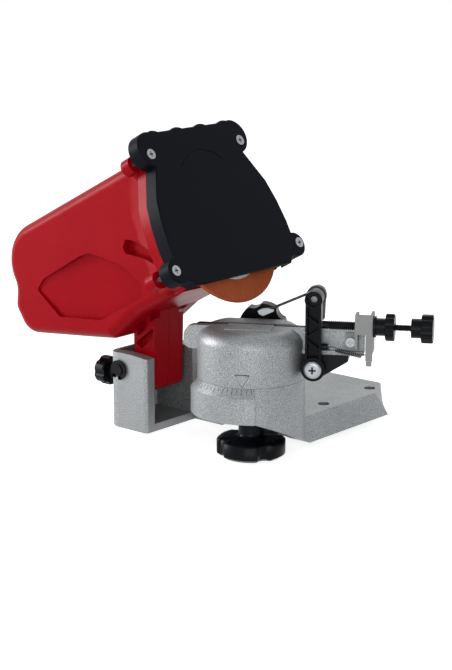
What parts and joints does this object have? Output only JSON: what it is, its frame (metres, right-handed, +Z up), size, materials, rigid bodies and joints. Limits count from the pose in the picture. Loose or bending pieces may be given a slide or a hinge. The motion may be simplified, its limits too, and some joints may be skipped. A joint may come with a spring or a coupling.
{
  "type": "electric chainsaw sharpener",
  "caption": "Bench-mounted electric chainsaw sharpener: tilting motor head with guarded grinding disc, swivelling chain vice with screw-fed tooth stop, cast base.",
  "frame": {"origin": "centre of the four bench holes, on the underside of the base plate", "axes": "+Z up, +X towards the operator's right, +Y into the bench, grinding disc facing +X"},
  "size_m": [0.3485, 0.2257, 0.2431],
  "materials": {
    "cast_aluminium": "sand-cast, tumbled",
    "red_plastic": "moulded, satin gloss",
    "black_guard": "moulded, fine satin",
    "black_plastic": "moulded satin",
    "blackened_steel": "black oxide",
    "zinc_steel": "bright zinc",
    "spring_steel": "drawn wire",
    "motor_steel": "laminated and ground steel",
    "copper": "copper bars",
    "abrasive": "vitrified grit",
    "paper_label": "blotter paper",
    "white_plastic": "moulded",
    "red_rocker": "moulded gloss",
    "black_rubber": "moulded"
  },
  "bodies": {
    "base": {"base_casting": "cast_aluminium", "pivot_pin": "blackened_steel", "pivot_clip": "zinc_steel", "depth_stop_nut": "zinc_steel", "head_spring": "spring_steel"},
    "table": {"rotary_table": "cast_aluminium", "table_stud": "zinc_steel", "guide_pins": "zinc_steel", "stop_bracket": "zinc_steel", "bracket_screw": "zinc_steel", "stop_arm": "blackened_steel", "stop_arm_screws": "zinc_steel", "lever_screw": "zinc_steel", "pivot_nut": "zinc_steel", "feed_washer": "zinc_steel", "lever_spring": "spring_steel"},
    "head": {"housing_left": "red_plastic", "housing_right": "red_plastic", "guard_cover": "black_guard", "guard_screws": "zinc_steel", "case_screws": "zinc_steel", "motor_stator": "motor_steel", "brush_holders": "copper", "rear_bearing": "motor_steel", "front_bearing": "motor_steel", "switch_frame": "black_plastic", "cable_gland": "black_rubber"},
    "wheel": {"grinding_disc": "abrasive", "disc_label": "paper_label", "inner_flange": "zinc_steel", "outer_flange": "zinc_steel", "disc_screw": "zinc_steel", "motor_shaft": "motor_steel", "motor_rotor": "motor_steel", "commutator": "copper", "cooling_fan": "white_plastic"},
    "rocker": {"switch_rocker": "red_rocker"},
    "depth_pad": {"depth_stop_pad": "zinc_steel"},
    "depth_screw": {"depth_stop_screw": "zinc_steel", "depth_stop_knob": "black_plastic"},
    "washer": {"lock_washer": "zinc_steel"},
    "lock": {"lock_knob": "black_plastic"},
    "jaw": {"moving_jaw": "zinc_steel"},
    "clamp": {"clamp_screw": "zinc_steel", "clamp_knob": "black_plastic"},
    "cap": {"feed_cap": "black_plastic"},
    "feed": {"feed_screw": "zinc_steel", "feed_knob": "black_plastic"},
    "lock_nut": {"lock_nut_knob": "black_plastic"},
    "lever": {"stop_lever": "black_plastic", "pawl_carrier": "zinc_steel"},
    "pawl": {"pawl_arm": "zinc_steel", "pawl_tip": "zinc_steel"}
  },
  "joints": [
    {"name": "table_swivel", "type": "hinge", "parent": "base", "child": "table", "pos_m": [0.012, -0.096, 0.054], "axis": [0, 0, 1], "range_deg": [-65, 5]},
    {"name": "head_pivot", "type": "hinge", "parent": "base", "child": "head", "pos_m": [-0.094, -0.096, 0.0465], "axis": [0, 1, 0], "range_deg": [0, 8], "stiffness_Nm_per_rad": 3, "springref_deg": -28.65, "deforming": ["head_spring"]},
    {"name": "disc_spin", "type": "hinge", "parent": "head", "child": "wheel", "pos_m": [-0.01665, -0.096, 0.15792], "axis": [0.8771, 0, 0.4802], "continuous": true},
    {"name": "rocker_tilt", "type": "hinge", "parent": "head", "child": "rocker", "pos_m": [-0.15155, -0.06, 0.14403], "axis": [0.4802, 0, -0.8771], "range_deg": [0, 14]},
    {"name": "depth_pad_slide", "type": "slide", "parent": "base", "child": "depth_pad", "axis": [-1, 0, 0], "range_m": [0, 0.0035]},
    {"name": "depth_screw_turn", "type": "hinge", "parent": "depth_pad", "child": "depth_screw", "pos_m": [-0.109, -0.096, 0.033], "axis": [-1, 0, 0], "range_deg": [0, 1200]},
    {"name": "washer_slide", "type": "slide", "parent": "table", "child": "washer", "axis": [0, 0, -1], "range_m": [0, 0.0015]},
    {"name": "lock_turn", "type": "hinge", "parent": "washer", "child": "lock", "pos_m": [0.012, -0.096, 0], "axis": [0, 0, -1], "range_deg": [0, 350]},
    {"name": "jaw_slide", "type": "slide", "parent": "table", "child": "jaw", "axis": [-0.5, 0.866, 0], "range_m": [0, 0.00146]},
    {"name": "clamp_turn", "type": "hinge", "parent": "jaw", "child": "clamp", "pos_m": [0.0046, -0.07718, 0.084], "axis": [-0.5, 0.866, 0], "range_deg": [0, 432]},
    {"name": "cap_slide", "type": "slide", "parent": "table", "child": "cap", "axis": [0.866, 0.5, 0], "range_m": [-0.0025, 0.0025]},
    {"name": "feed_turn", "type": "hinge", "parent": "cap", "child": "feed", "pos_m": [0.06571, -0.07942, 0.098], "axis": [0.866, 0.5, 0], "range_deg": [-890, 890]},
    {"name": "lock_nut_turn", "type": "hinge", "parent": "table", "child": "lock_nut", "pos_m": [0.06571, -0.07942, 0.098], "axis": [0.866, 0.5, 0], "range_deg": [0, 60]},
    {"name": "lever_swing", "type": "hinge", "parent": "table", "child": "lever", "pos_m": [0.06109, -0.08382, 0.0652], "axis": [-0.5, 0.866, 0], "range_deg": [-4.5, 4.5], "deforming": ["lever_spring"]},
    {"name": "pawl_lift", "type": "hinge", "parent": "lever", "child": "pawl", "pos_m": [0.05409, -0.0717, 0.117], "axis": [-0.5, 0.866, 0], "range_deg": [0, 60]}
  ],
  "couplings": [
    {"joint": "depth_pad_slide", "follows": "depth_screw_turn", "m_per_rad": 0.00015915},
    {"joint": "washer_slide", "follows": "lock_turn", "m_per_rad": 0.00023873},
    {"joint": "clamp_turn", "follows": "jaw_slide", "rad_per_m": 5026.5},
    {"joint": "cap_slide", "follows": "feed_turn", "m_per_rad": 0.00015915},
    {"joint": "lever_swing", "follows": "feed_turn", "ratio": 0.0048523}
  ]
}
